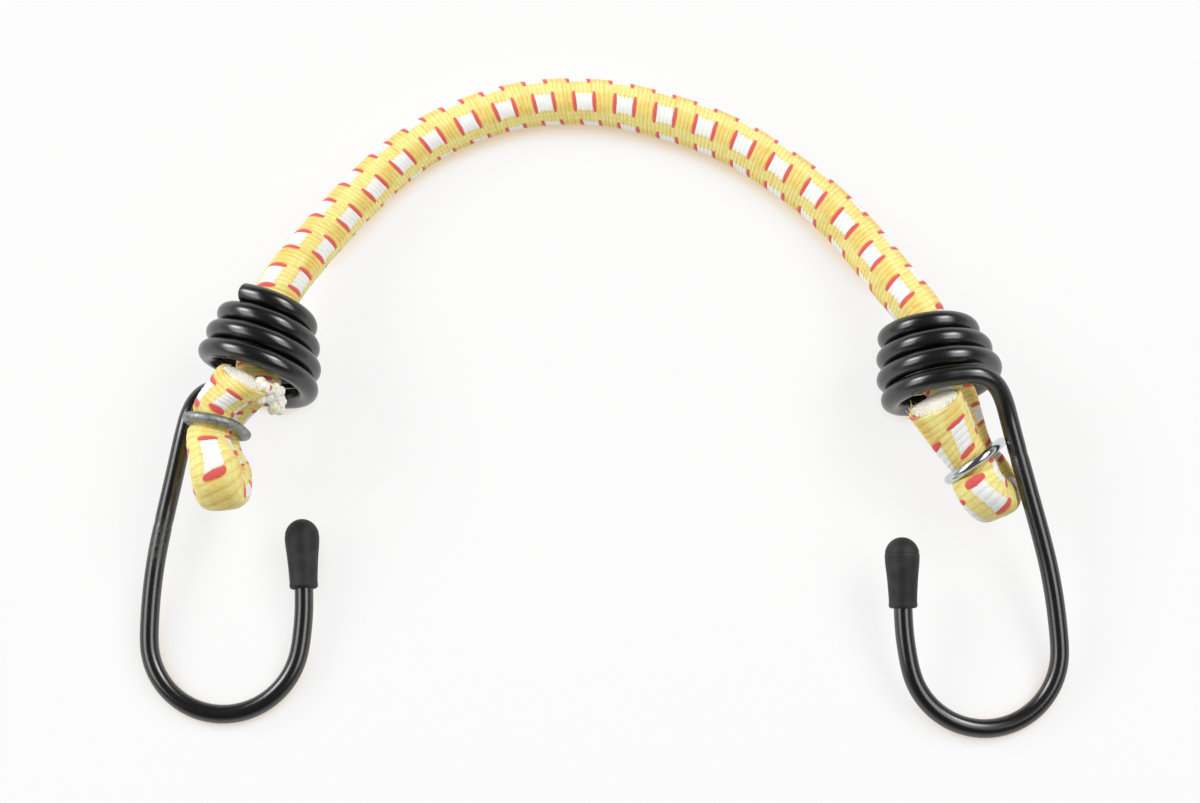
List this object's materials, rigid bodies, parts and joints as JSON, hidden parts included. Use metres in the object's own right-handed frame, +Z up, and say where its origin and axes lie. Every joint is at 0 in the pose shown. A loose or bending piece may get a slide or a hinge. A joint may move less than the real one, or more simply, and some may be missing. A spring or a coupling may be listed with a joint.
{
  "type": "bungee cord",
  "caption": "Short elastic bungee cord with a braided sheath, a coiled wire hook at each end, tip caps, and cord ends folded back and clamped by crimp rings.",
  "frame": {"origin": "on the table, under the middle of the box round the two hooks and the folded ends, without the free cord", "axes": "+X from the left hook to the right one, +Y away from the hooks' bends towards the cord's arch, +Z up from the table"},
  "size_m": [0.1524, 0.1152, 0.0217],
  "materials": {
    "braided_sheath": "braided yellow yarn with white and red tracers",
    "rubber_core": "matte cream latex",
    "coated_wire": "gloss black coating",
    "cap_rubber": "matte black moulding",
    "galvanised_ring": "dull galvanised",
    "bright_ring": "bright steel"
  },
  "bodies": {
    "cord_left_end": {"cord_sheath": "braided_sheath", "rubber_strand_1": "rubber_core", "rubber_strand_2": "rubber_core", "rubber_strand_3": "rubber_core", "rubber_strand_4": "rubber_core", "rubber_strand_5": "rubber_core", "rubber_strand_6": "rubber_core", "rubber_strand_7": "rubber_core", "left_fold_sheath": "braided_sheath", "left_fold_strand_1": "rubber_core", "left_fold_strand_2": "rubber_core", "left_fold_strand_3": "rubber_core", "left_fold_strand_4": "rubber_core", "left_fold_strand_5": "rubber_core", "left_fold_strand_6": "rubber_core", "left_fold_strand_7": "rubber_core", "left_crimp_ring": "galvanised_ring"},
    "cord_right_end": {"right_fold_sheath": "braided_sheath", "right_fold_strand_1": "rubber_core", "right_fold_strand_2": "rubber_core", "right_fold_strand_3": "rubber_core", "right_fold_strand_4": "rubber_core", "right_fold_strand_5": "rubber_core", "right_fold_strand_6": "rubber_core", "right_fold_strand_7": "rubber_core", "right_crimp_ring": "bright_ring"},
    "hook_left": {"left_hook": "coated_wire", "left_tip_cap": "cap_rubber"},
    "hook_right": {"right_hook": "coated_wire", "right_tip_cap": "cap_rubber"}
  },
  "joints": [
    {"name": "cord_stretch", "type": "slide", "parent": "cord_left_end", "child": "cord_right_end", "axis": [1, 0, 0], "range_m": [0, 0.15], "stiffness_N_per_m": 400, "deforming": ["cord_sheath", "rubber_strand_1", "rubber_strand_2", "rubber_strand_3", "rubber_strand_4", "rubber_strand_5", "rubber_strand_6", "rubber_strand_7"]},
    {"name": "left_hook_swivel", "type": "hinge", "parent": "cord_left_end", "child": "hook_left", "pos_m": [-0.05774, 0.02127, 0.01035], "axis": [-0.1614, -0.9869, 0], "range_deg": [-25, 25]},
    {"name": "right_hook_swivel", "type": "hinge", "parent": "cord_right_end", "child": "hook_right", "pos_m": [0.05666, 0.01897, 0.0105], "axis": [0.2297, -0.9723, 0.0436], "range_deg": [0, 35]}
  ]
}
